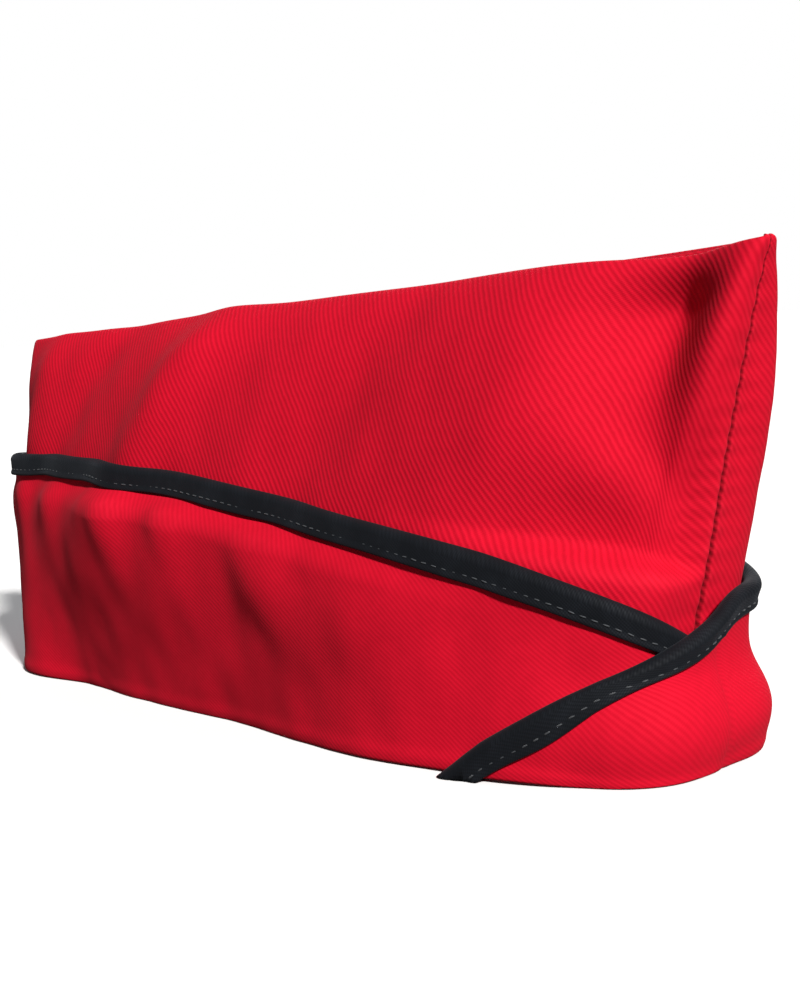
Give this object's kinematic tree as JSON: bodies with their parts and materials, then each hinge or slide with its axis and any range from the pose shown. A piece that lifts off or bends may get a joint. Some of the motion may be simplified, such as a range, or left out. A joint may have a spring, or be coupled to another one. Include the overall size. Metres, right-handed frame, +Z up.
{
  "type": "garrison cap",
  "caption": "Folding cloth cap with a turned-up curtain bound in dark piping, standing on its partly open rim.",
  "frame": {"origin": "on the surface that the cap stands on, midway along and across the cap", "axes": "+X to the wearer's front, +Y to the wearer's left, +Z up from the rim to the ridge"},
  "size_m": [0.285, 0.092, 0.1204],
  "materials": {
    "crown_twill": "red cotton twill with a fine diagonal rib",
    "curtain_twill": "red cotton twill with a fine diagonal rib, doubled over",
    "piping": "matt blue-black cotton tape"
  },
  "bodies": {
    "root": {"crown_right": "crown_twill", "crown_left": "crown_twill", "crown_gusset": "crown_twill", "curtain_right": "curtain_twill", "curtain_left": "curtain_twill", "piping_right": "piping", "piping_left": "piping"}
  },
  "joints": []
}
